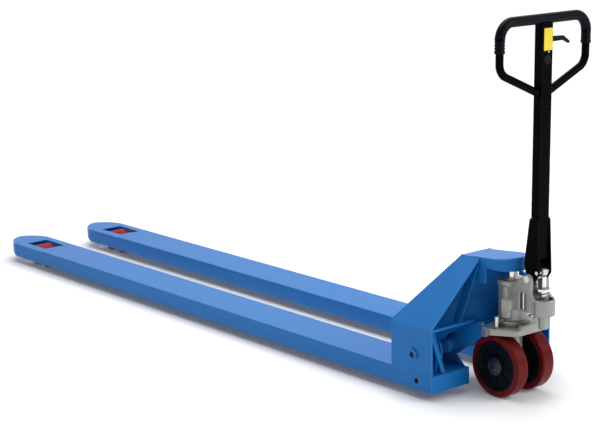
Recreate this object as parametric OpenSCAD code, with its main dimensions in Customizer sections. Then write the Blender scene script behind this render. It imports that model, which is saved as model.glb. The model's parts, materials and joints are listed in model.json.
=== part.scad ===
// Hydraulic hand pallet truck with extra long forks.
// +Y runs from the handle to the fork tips, +X to the operator's right, +Z up.
// The origin is on the floor, at the middle of the truck's outer box.

/* [Forks] */
// Width over both forks
fork_spread = 540; // [480:5:680]
// Width of one fork
fork_width = 165; // [150:1:200]
// Length from the heel's rear face to the fork tip
fork_length = 2645; // [1200:5:3200]
// Depth of the fork channel
fork_depth = 56; // [46:1:68]
// Thickness of the fork sheet
fork_wall = 5; // [4:0.5:6]
// Length of the welded fork nose
nose_length = 315; // [300:5:400]
// Length of the rounded end of the nose
tip_length = 105; // [85:1:130]

/* [Heel and head] */
// Length of the heel along the fork
heel_length = 183; // [155:1:220]
// Height of the heel's side plate above the fork top
heel_rise = 152; // [130:1:182]
// Width of the head cap
head_width = 120; // [112:1:144]
// Thickness of the heel and head plates
plate = 6; // [5:0.5:8]

/* [Steering wheels] */
// Diameter of the steering wheels
wheel_d = 200; // [165:5:240]
// Width of one steering wheel
wheel_width = 48.5; // [40:0.5:58]
// Gap between the two steering wheels
wheel_gap = 69; // [62:1:80]
// Depth of the tread on the steering wheels
tread = 18; // [15:1:22]
// Diameter of the steering axle
axle_d = 20; // [17:1:24]

/* [Load rollers] */
// Diameter of the load rollers
roller_d = 80; // [66:1:96]
// Width of the load rollers
roller_width = 70; // [58:1:80]
// Diameter of the pins of the roller linkage
roller_pin_d = 16; // [13:1:19]

/* [Pump] */
// Distance from the heel's rear face back to the steering axis
pump_back = 88; // [80:1:105]
// Outer diameter of the main cylinder
cylinder_d = 92; // [77:1:110]
// Height of the main cylinder
cylinder_h = 137; // [125:1:165]
// Diameter of the lifting ram
ram_d = 35; // [29:1:42]
// Distance from the steering axis back to the handle's pivot
pivot_back = 98; // [94:1:104]
// Distance from the steering axis back to the pump plunger
plunger_back = 127; // [120:1:143]
// Outer diameter of the plunger boss
boss_d = 72; // [66:1:76]
// Lifting travel
lift = 115; // [95:1:120]

/* [Handle] */
// Height of the handle's top bar above its pivot
handle_h = 793; // [700:1:950]
// Rearward lean of the parked handle in degrees
handle_lean = 0.9; // [0:0.1:6]
// Width of the handle tube
tube_w = 45; // [38:1:54]
// Depth of the handle tube
tube_d = 33; // [28:1:40]
// Width of the hand ring between its side bars
ring_w = 376; // [315:1:450]
// Diameter of the hand ring's bar
ring_bar_d = 24; // [20:1:29]
// Outer diameter of the grip sleeves
grip_d = 32; // [30:1:38]

/* [Hidden] */
$fn = 64;

// Colours
blue = "#3d7cc4";
cast = "#b9b9b4";
black = "#1c1c1f";
steel = "#c8c9cb";
bronze = "#a8844a";
tyre_red = "#7d1a24";
roller_red = "#b3262e";

// Fits and gaps
fit = 0.05; // radial running fit
gap = 0.3;  // gap between pieces that move past each other
slack = 1;  // side play of the wheels

// Places along Y
rear_reach = pump_back + plunger_back + boss_d / 2;
heel_y = rear_reach - (fork_length + rear_reach) / 2;
tip_y = heel_y + fork_length;
seam_y = tip_y - nose_length;
steer_y = heel_y - pump_back;
plunger_y = steer_y - plunger_back;
pivot_y = steer_y - pivot_back;
rocker_y = heel_y + 82;
eye_y = heel_y - 65;
rod_pin_y = heel_y + 69;

// Heights
fork_top = roller_d + fork_wall;
fork_bottom = fork_top - fork_depth;
heel_step = 1; // the fork's top is this much lower under the heel
heel_floor = fork_top - heel_step;
heel_top = fork_top + heel_rise;
axle_z = wheel_d / 2;
base_z = wheel_d + 6;
base_t = 20;
base_top = base_z + base_t;
bearing_t = 6.6;
flange_z = base_top + bearing_t + gap;
cylinder_top = flange_z + cylinder_h;
gland_t = 10;
skirt_z = cylinder_top + 31;
head_z = skirt_z + 26;
cap_slope = 5.3;
pivot_z = cylinder_top + 22;
eye_z = base_z + 3;
rocker_z = fork_top + 57;
rod_pin_z = fork_top - 27;

// Forks
fork_x = (fork_spread - fork_width) / 2;
bend_r = 4;

// Roller linkage in the nose
roller_r = roller_d / 2;
roller_pitch = roller_d + 4;
pin_r = roller_pin_d / 2;
bracket_y = tip_y - 75;
bracket_z = fork_top - 23;
bogie_y = bracket_y - roller_pitch / 2 - roller_r - 71;
front_pin_y = bracket_y - 88;
front_pin_z = bracket_z - 23;
bogie_x = roller_width / 2 + 1.5;
bracket_x = bogie_x + plate + slack;
strap_x = bracket_x + plate + slack;
stub_r = 5;

// Rocker
rocker_bolt_r = 10;
bush_r = 14;
bush_l = 30;
torque_r = 24;
arm_x = wheel_gap / 2 + wheel_width + 3;
arm_t = 7;
lug_x = arm_x + arm_t + slack;
lug_t = 13;
eye_pin_r = 7;
eye_play = 2.3; // play of the pin in the rocker's long eye
rod_t = 12;
rod_r = 9.5;

// Shoulders
rise = head_z - heel_top;
slope = atan2(rise, fork_spread / 2 - head_width / 2);
slope_l = norm([rise, fork_spread / 2 - head_width / 2]);
shoulder_top_l = 80;
bar_t = 8;
bar_w = 30;
bar_z = max(heel_top - 11, eye_z + 17); // the flat bar clears the rocker's upper arms
strut_t = 7;
strut_reach = 78;
rib_t = 8;
rib_drop = 9;

// Push rods
rod_l = norm([front_pin_y - rod_pin_y, front_pin_z - rod_pin_z]);
rod_tilt = atan2(front_pin_z - rod_pin_z, front_pin_y - rod_pin_y);
rod_legs_l = roller_pitch + roller_r + 42;

// Pump
cylinder_r = cylinder_d / 2;
ram_r = ram_d / 2;
ram_bottom = base_z + 19;
trunnion_r = 30;
bush_wall = 6;
flange_r = 58;
boss_r = boss_d / 2;
boss_z = flange_z + 44;
boss_h = 52;
tail_z = flange_z - 1;
tail_r = 16;
plunger_r = 11;
stem_r = 8;
spring_well_r = boss_r - 7;
spring_well_z = boss_z + 23;
collar_r = spring_well_r - 5;
collar_z = pivot_z - 37;
collar_t = 7;
flange_t = 10;
dog_t = 8;
pad_out = 10;
pad_w = 34;
pad_h = 60;
pad_turn = 18;
pad_z = flange_z + flange_t + dog_t + 2;
ear_r = 15;
ear_t = 14;
handle_pin_r = 8;
valve_y = steer_y - 52;
valve_z = pivot_z - 47;
valve_pin_r = 4;
valve_drop = 5;
stem_y = pivot_y + 20;
stem_w = 24;
stem_z = boss_z + 14;
stem_h = 54;
ear_root_y = steer_y - 34;  // where the ears grow out of the main cylinder
ear_root_z = cylinder_top - 36;
ear_blend = 20; // radius from an ear's rear edge to the boss

// Handle, measured from its pivot along the tube
tube_wall = 3;
tube_shift = -8;
tube_start = 62;
yoke_t = 6;
yoke_top = 178;
yoke_x = tube_w / 2;
ear_x = yoke_x + yoke_t + gap;
press_y = -24;
press_z = 20;
press_r = 12.5;
press_w = 20;
press_pin_r = 6;
ring_corner_z = handle_h - 148;
ring_foot_z = handle_h - 226;
ring_bend = 50;
elbow_bend = 45;
bend_swell = 0.15; // a bent tube is a shade thicker in its bends
bend_lap = 0.5;     // how far a straight run reaches into a bend
grip_start = handle_h - 88;
lever_x = 14;
lever_z = handle_h - 64;
lever_t = 8;
lever_pin_r = 4;
pull_r = 3;

// Steering wheels
axle_r = axle_d / 2;
wheel_in = wheel_gap / 2;
wheel_out = wheel_in + wheel_width;
bearing_r = 23.5;
bearing_w = 14;
hub_r = wheel_d / 2 - tread;

// Flat shape in (y, z), t thick from x towards +X
module plate_yz(x, t) {
    translate([x, 0, 0]) rotate([90, 0, 90]) linear_extrude(t) children();
}

// Flat shape in (x, z), from y0 to y1
module plate_xz(y0, y1) {
    translate([0, y1, 0]) rotate([90, 0, 0]) linear_extrude(y1 - y0) children();
}

// Round bar along X from x0 to x1
module bar_x(x0, x1, y, z, r) {
    translate([x0, y, z]) rotate([0, 90, 0]) cylinder(h = x1 - x0, r = r);
}

// The same shape on both sides of the truck
module both_sides() {
    children();
    mirror([1, 0, 0]) children();
}

// Flat bar with round ends of radii rp and rq at the points p and q
module link(p, rp, q, rq) {
    d = q - p;
    a = atan2(d[1], d[0]);
    b = acos((rp - rq) / norm(d));
    translate(p) circle(rp);
    translate(q) circle(rq);
    polygon([
        p + rp * [cos(a + b), sin(a + b)], p + rp * [cos(a - b), sin(a - b)],
        q + rq * [cos(a - b), sin(a - b)], q + rq * [cos(a + b), sin(a + b)]
    ]);
}

// Places a piece in the handle's frame: origin at the pivot, +Z along the tube
module on_handle() {
    translate([0, pivot_y, pivot_z]) rotate([handle_lean, 0, 0]) children();
}

function unit(v) = v / norm(v);

// Round bar of radius r in the XZ plane through the points, with bent corners
module bent_bar(points, bends, r) {
    n = len(points);
    turn = [for (i = [1:n - 2]) let (u = unit(points[i] - points[i - 1]), v = unit(points[i + 1] - points[i]))
        atan2(u[0] * v[1] - u[1] * v[0], u * v)];
    cut = [0, for (i = [0:n - 3]) bends[i] * tan(abs(turn[i]) / 2), 0];
    rotate([90, 0, 0]) {
        for (i = [0:n - 2]) {
            u = unit(points[i + 1] - points[i]);
            start = points[i] + u * cut[i];
            run = norm(points[i + 1] - points[i]) - cut[i] - cut[i + 1];
            translate([start[0], start[1], 0]) rotate([0, 0, atan2(u[1], u[0])]) rotate([0, 90, 0])
                translate([0, 0, i > 0 ? -bend_lap : 0])
                cylinder(h = run + (i > 0 ? bend_lap : 0) + (i < n - 2 ? bend_lap : 0), r = r);
        }
        for (i = [0:n - 3]) {
            u = unit(points[i + 1] - points[i]);
            s = sign(turn[i]);
            start = points[i + 1] - u * cut[i + 1];
            centre = start + s * bends[i] * [-u[1], u[0]];
            out = start - centre;
            translate([centre[0], centre[1], 0]) rotate([0, 0, atan2(out[1], out[0])])
                rotate_extrude(angle = turn[i]) translate([bends[i], 0]) circle(r + bend_swell);
        }
    }
}

// ---- Base: the plate that the pump turns in ----

module base_outline() {
    polygon([
        [-lug_x - lug_t, eye_y - 28], [-60, steer_y - 79], [60, steer_y - 79], [lug_x + lug_t, eye_y - 28],
        [lug_x + lug_t, eye_y + 10], [45, eye_y + 30], [-45, eye_y + 30], [-lug_x - lug_t, eye_y + 10]
    ]);
}

module base_plate() color(cast) difference() {
    union() {
        translate([0, 0, base_z]) linear_extrude(base_t) difference() {
            base_outline();
            translate([arm_x - slack, eye_y - 32]) square([arm_t + 2 * slack, 66]);
            translate([-arm_x - arm_t - slack, eye_y - 32]) square([arm_t + 2 * slack, 66]);
        }
        both_sides() plate_yz(lug_x, lug_t) link([eye_y, eye_z], 14, [eye_y - 14, base_z + 8], 8);
        translate([-45, steer_y - 79, base_z + base_t]) cube([90, 16, 12]);
    }
    translate([0, steer_y, base_z - 1]) cylinder(h = base_t + 2, r = trunnion_r + bush_wall);
    bar_x(-lug_x - lug_t - 1, lug_x + lug_t + 1, eye_y, eye_z, eye_pin_r);
    both_sides() translate([78, steer_y - 4, base_z + 8]) cylinder(h = base_t, r = 5);
}

// Bronze bush in the plate and the thrust ring on it
module steer_bearing() color(bronze) translate([0, steer_y, 0]) {
    translate([0, 0, base_z]) difference() {
        cylinder(h = base_t, r = trunnion_r + bush_wall);
        translate([0, 0, -1]) cylinder(h = base_t + 2, r = trunnion_r + fit);
    }
    translate([0, 0, base_top]) difference() {
        cylinder(h = bearing_t, r = flange_r - 5);
        translate([0, 0, -1]) cylinder(h = bearing_t + 2, r = trunnion_r + 4);
    }
}

module base_pins() color(steel) both_sides() {
    bar_x(arm_x - 2, lug_x + lug_t, eye_y, eye_z, eye_pin_r);
    bar_x(lug_x + lug_t, lug_x + lug_t + 2.5, eye_y, eye_z, eye_pin_r + 2);
}

// Posts with a dog that holds the pump's flange down
module hold_down_posts() color(steel) both_sides() {
    translate([78, steer_y - 4, base_z + 8]) cylinder(h = base_t - 8, r = 5);
    translate([78, steer_y - 4, base_top]) cylinder(h = 36, r = 7);
    translate([52, steer_y - 11, flange_z + flange_t + gap]) cube([20, 14, dog_t]);
}

// ---- Pump ----

module plug_pad() translate([cylinder_r - 10, -pad_w / 2, pad_z]) cube([10 + pad_out, pad_w, pad_h]);

// Ear in (y, z): from the pivot down to the boss and forward to the main cylinder
module ear() {
    rear = pivot_y - ear_r;
    boss_top = boss_z + boss_h;
    link([pivot_y, pivot_z], ear_r, [ear_root_y, ear_root_z], ear_blend);
    polygon([
        [rear, pivot_z], [pivot_y, pivot_z], [ear_root_y + ear_blend, ear_root_z],
        [ear_root_y + ear_blend, boss_z + 8], [rear, boss_z + 8]
    ]);
    difference() {
        translate([rear - ear_blend, boss_top - 5]) square([ear_blend + 1, ear_blend + 5]);
        translate([rear - ear_blend, boss_top + ear_blend]) circle(ear_blend);
    }
}

module pump_body() color(cast) difference() {
    union() {
        translate([0, steer_y, 0]) {
            translate([0, 0, flange_z]) cylinder(h = cylinder_h, r = cylinder_r);
            translate([0, 0, flange_z]) cylinder(h = flange_t, r = flange_r);
            translate([0, 0, cylinder_top - 16]) cylinder(h = 16, r = cylinder_r + 4);
            translate([0, 0, axle_z]) cylinder(h = flange_z - axle_z + 1, r = trunnion_r);
        }
        bar_x(-wheel_in + slack, wheel_in - slack, steer_y, axle_z, trunnion_r);
        // Bridge from the main cylinder to the plunger boss
        translate([-ear_x - ear_t, plunger_y + boss_r - 8, boss_z + 8])
            cube([2 * (ear_x + ear_t), plunger_back - boss_r + 8, boss_h - 12]);
        translate([0, plunger_y, boss_z]) cylinder(h = boss_h, r = boss_r);
        translate([0, plunger_y, tail_z]) cylinder(h = boss_z - tail_z + 1, r = tail_r);
        // Ears of the handle pivot, blended into the boss
        both_sides() plate_yz(ear_x, ear_t) ear();
        // Cheeks of the valve arm
        both_sides() plate_yz(lever_t / 2 + slack, 6)
            link([valve_y, valve_z], 9, [valve_y, boss_z + boss_h - 6], 11);
        // Machined pad for the plugs on the right, and a plain one turned to the rear on the left
        translate([0, steer_y, 0]) {
            plug_pad();
            rotate([0, 0, 180 + pad_turn]) plug_pad();
        }
    }
    translate([0, steer_y, ram_bottom - 12]) cylinder(h = cylinder_top - ram_bottom + 4, r = ram_r + 3);
    translate([0, steer_y, cylinder_top - gland_t]) cylinder(h = gland_t + 1, r = ram_r + 12);
    bar_x(-wheel_in, wheel_in, steer_y, axle_z, axle_r);
    translate([0, plunger_y, tail_z + 6]) cylinder(h = boss_h + boss_z - tail_z, r = plunger_r + fit);
    translate([0, plunger_y, spring_well_z]) cylinder(h = boss_h, r = spring_well_r);
    bar_x(-ear_x - ear_t - 1, ear_x + ear_t + 1, pivot_y, pivot_z, handle_pin_r + fit);
    bar_x(-20, 20, valve_y, valve_z, valve_pin_r + fit);
    // Pocket for the short end of the valve arm
    translate([-lever_t / 2 - slack, valve_y - 12, valve_z - 14]) cube([lever_t + 2 * slack, 32, 28]);
    // Window of the valve stem
    translate([-ear_x - ear_t - 1, stem_y - stem_w / 2, stem_z]) cube([ear_t + 2, stem_w, stem_h]);
}

module pump_gland() color(steel) translate([0, steer_y, cylinder_top - gland_t]) difference() {
    union() {
        cylinder(h = gland_t, r = ram_r + 12);
        translate([0, 0, gland_t]) cylinder(h = 4, r = ram_r + 9);
    }
    translate([0, 0, -1]) cylinder(h = gland_t + 6, r = ram_r + fit);
}

module steer_axle() color(steel) bar_x(-wheel_out - 6, wheel_out + 6, steer_y, axle_z, axle_r);

// Side washers and snap rings on the axle, and the ring that keeps the base plate on the pump
module snap_rings() color(steel) {
    both_sides() {
        difference() {
            bar_x(wheel_in - slack, wheel_in - gap, steer_y, axle_z, axle_r + 5);
            bar_x(wheel_in - slack - 1, wheel_in, steer_y, axle_z, axle_r);
        }
        difference() {
            bar_x(wheel_out + gap, wheel_out + gap + 2, steer_y, axle_z, axle_r + 5);
            bar_x(wheel_out - 1, wheel_out + 4, steer_y, axle_z, axle_r);
        }
    }
    translate([0, steer_y, base_z - gap - 3.5]) difference() {
        cylinder(h = 3.5, r = trunnion_r + 5);
        translate([0, 0, -1]) cylinder(h = 6, r = trunnion_r);
    }
}

// Return spring of the plunger, as a ribbed sleeve of the same outline
module plunger_spring() color(steel) translate([0, plunger_y, 0]) {
    turns = 6;
    top = collar_z - gap;
    pitch = (top - spring_well_z) / turns;
    rotate_extrude() polygon(concat(
        [[plunger_r + 1, top], [plunger_r + 1, spring_well_z]],
        [for (i = [0:turns - 1]) for (rib = [[0, 0.1], [2.5, 0.3], [2.5, 0.7], [0, 0.9]])
            [plunger_r + 2.5 + rib[0], spring_well_z + pitch * (i + rib[1])]]
    ));
}

// Hexagon plugs in the machined pad, and the valve stem in its pocket
module pump_screws() color(steel) {
    for (h = [15, 43])
        translate([cylinder_r + pad_out, steer_y, pad_z + h]) rotate([0, 90, 0])
            cylinder(h = 5, r = 8, $fn = 6);
    translate([-ear_x - ear_t / 2, stem_y, stem_z]) cylinder(h = stem_h, r = 4);
}

// Lever of the release valve, on its own pin
module valve_arm() color(steel) {
    bar_x(-lever_t / 2 - 7, lever_t / 2 + 7, valve_y, valve_z, valve_pin_r);
    plate_yz(-lever_t / 2, lever_t) {
        link([valve_y, valve_z], 8, [pivot_y + 1.5, valve_z + 14], 4.5);
        link([valve_y, valve_z], 8, [valve_y + 14, valve_z + 3], 4);
    }
    translate([0, pivot_y, valve_z + 14])
        cylinder(h = pivot_z - valve_z - 14 - handle_pin_r - valve_drop, r = pull_r);
}

// Underside of the pressing roller at rest, less the working gap
function press_bottom() =
    pivot_z + press_y * sin(handle_lean) + press_z * cos(handle_lean) - press_r - gap;

module plunger() color(steel) translate([0, plunger_y, 0]) {
    foot = spring_well_z - 15;
    translate([0, 0, foot]) cylinder(h = collar_z - foot, r = plunger_r);
    translate([0, 0, collar_z]) cylinder(h = collar_t, r = collar_r);
    translate([0, 0, collar_z + collar_t]) cylinder(h = press_bottom() - collar_z - collar_t, r = stem_r);
}

// ---- Steering wheels; side is -1 for the left and 1 for the right ----

module wheel_turned(side) {
    translate([side * (wheel_in + wheel_width / 2), steer_y, axle_z]) rotate([0, 90, 0])
        rotate_extrude() children();
}

// Half section of a tyre or roller tread: r0 to r1, w wide, with rounded outer edges
module tread_section(r0, r1, w, edge) {
    translate([r0, -w / 2]) square([r1 - r0 - edge, w]);
    translate([r0, -w / 2 + edge]) square([r1 - r0, w - 2 * edge]);
    for (s = [-1, 1]) translate([r1 - edge, s * (w / 2 - edge)]) circle(edge);
}

module tyre(side) color(tyre_red) wheel_turned(side) tread_section(hub_r, wheel_d / 2, wheel_width, 6);

module wheel_hub(side) color(black) wheel_turned(side) difference() {
    translate([bearing_r - 3, -wheel_width / 2]) square([hub_r - bearing_r + 3, wheel_width]);
    for (s = [-1, 1]) {
        translate([bearing_r - 4, s > 0 ? wheel_width / 2 - bearing_w - 1 : -wheel_width / 2 - 1])
            square([4, bearing_w + 2]);
        translate([bearing_r + 8, s > 0 ? wheel_width / 2 - 11 : -wheel_width / 2 - 1])
            square([hub_r - bearing_r - 16, 12]);
    }
}

module wheel_bearings(side) color(steel) wheel_turned(side)
    for (s = [-1, 1]) translate([axle_r + fit, s * (wheel_width / 2 - bearing_w / 2 - 1) - bearing_w / 2])
        square([bearing_r - axle_r - fit, bearing_w]);

module tyre_left() tyre(-1);
module tyre_right() tyre(1);
module wheel_hub_left() wheel_hub(-1);
module wheel_hub_right() wheel_hub(1);
module wheel_bearings_left() wheel_bearings(-1);
module wheel_bearings_right() wheel_bearings(1);

// ---- Handle ----

// Two cheeks on the pump's ears, joined by a web in front of the tube
module handle_yoke() color(black) on_handle() {
    front = tube_shift + tube_d / 2;
    rear = tube_shift - tube_d / 2;
    both_sides() difference() {
        plate_yz(yoke_x, yoke_t) hull() {
            circle(17);
            translate([14, 42]) circle(14);
            translate([press_y, press_z]) circle(11);
            translate([front - 10, yoke_top]) circle(12);
            translate([rear + 10, yoke_top]) circle(12);
        }
        bar_x(yoke_x - 1, yoke_x + yoke_t + 1, 0, 0, handle_pin_r);
        bar_x(yoke_x - 1, yoke_x + yoke_t + 1, press_y, press_z, press_pin_r);
    }
    translate([-yoke_x, front, 34]) cube([2 * yoke_x, 5, yoke_top - 44]);
}

module tube_box(extra, z0, z1) {
    translate([-tube_w / 2 - extra, tube_shift - tube_d / 2 - extra, z0])
        cube([tube_w + 2 * extra, tube_d + 2 * extra, z1 - z0]);
}

module handle_tube() color(black) on_handle() difference() {
    tube_box(0, tube_start, handle_h - ring_bar_d / 2);
    tube_box(-tube_wall, tube_start - 1, handle_h);
    bar_x(-tube_w, tube_w, tube_shift, handle_h, grip_d / 2);
    // Slot and pin bore of the release lever
    translate([tube_w / 2 - tube_wall - 1, -lever_t / 2 - slack, lever_z - 13])
        cube([tube_wall + 2, lever_t + 2 * slack, 26]);
    translate([lever_x, 40, lever_z]) rotate([90, 0, 0]) cylinder(h = 80, r = lever_pin_r + fit);
}

module handle_ring() color(black) on_handle() difference() {
    side = ring_w / 2;
    translate([0, tube_shift, 0]) bent_bar([
        [10, ring_foot_z], [side, ring_corner_z], [side, handle_h],
        [-side, handle_h], [-side, ring_corner_z], [-10, ring_foot_z]
    ], [elbow_bend, ring_bend, ring_bend, elbow_bend], ring_bar_d / 2);
    tube_box(0, ring_foot_z - 60, ring_corner_z);
}

module grip_line(r) translate([0, tube_shift, 0]) bent_bar([
    [ring_w / 2, grip_start], [ring_w / 2, handle_h], [-ring_w / 2, handle_h], [-ring_w / 2, grip_start]
], [ring_bend, ring_bend], r);

module handle_grips() color(black) on_handle() difference() {
    grip_line(grip_d / 2);
    grip_line(ring_bar_d / 2);
}

// Pivot axle, with a cross hole that the release rod passes into
module handle_axle() color(steel) on_handle() difference() {
    union() {
        bar_x(-ear_x - ear_t - 4, ear_x + ear_t + 4, 0, 0, handle_pin_r);
        both_sides() bar_x(ear_x + ear_t + gap, ear_x + ear_t + 4, 0, 0, handle_pin_r + 3);
    }
    translate([0, 0, -handle_pin_r - 1]) cylinder(h = 2 * handle_pin_r + 2, r = pull_r + 1.5);
}

module roller_pin() color(steel) on_handle()
    bar_x(-yoke_x - yoke_t, yoke_x + yoke_t, press_y, press_z, press_pin_r);

module press_roller() color(steel) on_handle() difference() {
    bar_x(-press_w / 2, press_w / 2, press_y, press_z, press_r);
    bar_x(-press_w / 2 - 1, press_w / 2 + 1, press_y, press_z, press_pin_r + fit);
}

module release_lever() color(black) on_handle() {
    translate([0, lever_t / 2, 0]) rotate([90, 0, 0]) linear_extrude(lever_t) {
        link([lever_x, lever_z], 9, [92, lever_z - 1], 7);
        link([92, lever_z - 1], 7, [117, lever_z - 15], 4.5);
        link([lever_x, lever_z], 9, [0, lever_z], 4);
    }
    translate([lever_x, tube_shift + tube_d / 2, lever_z]) rotate([90, 0, 0])
        cylinder(h = tube_d, r = lever_pin_r);
}

// Pull rod inside the handle tube, hanging under the lever's short arm
module release_rod() color(steel) on_handle() {
    top = lever_z - 4.8;
    translate([0, 0, -handle_pin_r + 2]) cylinder(h = top - 5 + handle_pin_r - 2, r = pull_r);
    translate([0, 0, top - 6]) cylinder(h = 5, r = pull_r / 2);
}

// ---- Chassis ----

// Upside-down U of the fork sheet: w wide, h deep, t thick
module channel_section(w, h, t) difference() {
    union() {
        translate([-w / 2, 0]) square([w, h - bend_r]);
        translate([-w / 2 + bend_r, 0]) square([w - 2 * bend_r, h]);
        for (s = [-1, 1]) translate([s * (w / 2 - bend_r), h - bend_r]) circle(bend_r);
    }
    translate([-w / 2 + t, -1]) square([w - 2 * t, h - t + 1]);
}

module fork(side) color(blue) difference() {
    union() {
        translate([side * fork_x, 0, fork_bottom]) plate_xz(heel_y + plate, seam_y)
            channel_section(fork_width, fork_depth, fork_wall);
        translate([side * fork_x - fork_width / 2, heel_y, fork_bottom]) cube([fork_width, plate, fork_depth]);
        // Stiffening strips under the top sheet, over the push rod
        strip_y = heel_y + heel_length;
        for (k = [1:3]) translate([
            side * fork_x - fork_width / 2 + 1, strip_y + k * (seam_y - strip_y) / 4 - 20,
            fork_top - fork_wall - 4
        ]) cube([fork_width - 2, 40, 5]);
    }
    // Seat of the heel
    translate([side * fork_x - fork_width, heel_y - 1, heel_floor]) cube([2 * fork_width, heel_length + 2, 10]);
    // Slot for the rocker's lower arms
    translate([side * fork_x - 27, heel_y + 34, fork_top - fork_wall - 1]) cube([54, 132, fork_wall + 2]);
    // Access hole to the rod pin
    bar_x(-fork_spread / 2 - 1, -fork_spread / 2 + fork_wall + 1, rod_pin_y, rod_pin_z, 9);
    bar_x(fork_spread / 2 - fork_wall - 1, fork_spread / 2 + 1, rod_pin_y, rod_pin_z, 9);
}

module fork_left() fork(-1);
module fork_right() fork(1);

// Rounded plan of the nose, w wide, with an end l long after a straight run
module nose_plan(w, l, run) {
    n = 24;
    p = 2 / 1.7;
    polygon(concat(
        [[w / 2, -run]],
        [for (i = [0:n]) let (a = 180 * i / n)
            [w / 2 * sign(cos(a)) * pow(abs(cos(a)), p), l * pow(abs(sin(a)), p)]],
        [[-w / 2, -run]]
    ));
}

module nose(side) color(blue) difference() {
    run = nose_length - tip_length;
    union() {
        difference() {
            translate([side * fork_x, tip_y - tip_length, fork_bottom]) linear_extrude(fork_depth)
                nose_plan(fork_width, tip_length, run);
            translate([side * fork_x, tip_y - tip_length, fork_bottom - 1])
                linear_extrude(fork_depth - fork_wall + 1)
                nose_plan(fork_width - 2 * fork_wall, tip_length - fork_wall, run + 1);
        }
        // Lugs that hold the bracket pivot
        for (s = [-1, 1]) plate_yz(side * fork_x + s * (strap_x + plate / 2) - plate / 2, plate) {
            translate([bracket_y, bracket_z]) circle(16);
            translate([bracket_y - 16, bracket_z]) square([32, fork_top - fork_wall + 1 - bracket_z]);
        }
    }
    for (s = [-1, 1]) bar_x(
        side * fork_x + s * (strap_x + plate / 2) - plate, side * fork_x + s * (strap_x + plate / 2) + plate,
        bracket_y, bracket_z, pin_r
    );
    // Window over the load rollers
    translate([side * fork_x - roller_width / 2 - 11, bogie_y - roller_pitch / 2 - 19, fork_bottom])
        cube([roller_width + 22, roller_pitch + roller_r + 24, fork_depth + 1]);
    // Upswept underside of the tip
    plate_yz(side * fork_x - fork_width, 2 * fork_width)
        polygon([
            [tip_y - tip_length, fork_bottom], [tip_y - tip_length, fork_bottom - 1],
            [tip_y + 1, fork_bottom - 1], [tip_y + 1, fork_bottom + 26]
        ]);
}

module nose_left() nose(-1);
module nose_right() nose(1);

// Side plate of the heel, with the hexagon boss of the rocker bolt
module heel() difference() {
    union() {
        plate_yz(fork_spread / 2 - plate, plate)
            translate([heel_y, heel_floor]) square([heel_length, heel_top - heel_floor]);
        translate([fork_spread / 2, rocker_y, rocker_z]) rotate([0, 90, 0]) cylinder(h = 7, r = 20, $fn = 6);
    }
    bar_x(fork_spread / 2 - plate - 1, fork_spread / 2 + 8, rocker_y, rocker_z, rocker_bolt_r);
    // Bevel under the shoulder
    on_slope() translate([-4 * plate, -1, -plate]) cube([8 * plate, heel_length + 2, 4 * plate]);
}

module heel_left() color(blue) mirror([1, 0, 0]) heel();
module heel_right() color(blue) heel();

// Puts a shape on the right shoulder's slope: x up the slope from the heel's top edge, z out of it
module on_slope() {
    translate([fork_spread / 2, heel_y, heel_top]) mirror([1, 0, 0]) rotate([0, -slope, 0]) children();
}

// Slanted shoulder from the heel's top edge up to the head
module shoulder() intersection() {
    on_slope() translate([0, 0, -plate]) linear_extrude(plate) polygon([
        [-plate, 0], [-plate, heel_length], [0, heel_length],
        [slope_l, shoulder_top_l], [slope_l + plate, shoulder_top_l], [slope_l + plate, 0]
    ]);
    translate([head_width / 2, heel_y - 1, heel_top - 2 * plate])
        cube([(fork_spread - head_width) / 2, heel_length + 2, rise + 3 * plate]);
}

module shoulder_left() color(blue) mirror([1, 0, 0]) shoulder();
module shoulder_right() color(blue) shoulder();

// Plan of the head cap, inset by t
module cap_plan(t) {
    translate([0, steer_y + 20]) circle(head_width / 2 - t);
    translate([-head_width / 2 + t, steer_y + 20]) square([head_width - 2 * t, heel_y + 80 - steer_y - 20 - t]);
}

module head_cap() color(blue) {
    difference() {
        translate([0, 0, skirt_z]) linear_extrude(60) cap_plan(0);
        translate([0, 0, skirt_z - 1]) linear_extrude(head_z - skirt_z - 4) cap_plan(plate);
        // Open under the shoulders' top edges
        translate([-head_width, heel_y - plate, skirt_z - 1]) cube([2 * head_width, 100, head_z - skirt_z + 1]);
        // Top face, rising to the rear
        translate([0, heel_y + 80, head_z]) rotate([-cap_slope, 0, 0]) translate([-head_width, -400, 0])
            cube([2 * head_width, 500, 100]);
    }
    translate([0, steer_y, skirt_z]) difference() {
        cylinder(h = head_z - skirt_z - 5, r = ram_r + 10);
        translate([0, 0, -1]) cylinder(h = 9, r = ram_r - 6);
    }
    // Side webs between the head and the shoulders
    both_sides() plate_yz(head_width / 2 - plate, plate) polygon([
        [heel_y - 26, skirt_z], [heel_y - 26, skirt_z - 52], [heel_y + 38, skirt_z - 44],
        [heel_y + 38, head_z], [heel_y - plate, head_z], [heel_y - plate, skirt_z]
    ]);
}

// Front panel, upright over the forks and then bent back to the head; the shoulders cut its sides
module back_panel() color(blue) {
    front = heel_y + heel_length;
    run = heel_length - shoulder_top_l;
    lean_l = norm([run, rise]);
    bend = atan2(run, rise);
    inward = fork_wall * [-rise, -run] / lean_l;
    difference() {
        plate_yz(plate - fork_spread / 2, fork_spread - 2 * plate) polygon([
            [front, heel_floor], [front, heel_top], [front - run, head_z], [front - run, head_z] + inward,
            [front - fork_wall, heel_top - fork_wall * tan(bend / 2)], [front - fork_wall, heel_floor]
        ]);
        both_sides() on_slope() translate([-4 * plate, -1, -plate])
            cube([slope_l + 8 * plate, heel_length + 2, heel_length]);
        translate([-fork_x + fork_width / 2, front - 2 * fork_wall, heel_floor - 1])
            cube([2 * fork_x - fork_width, 3 * fork_wall, 26]);
    }
}

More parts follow.
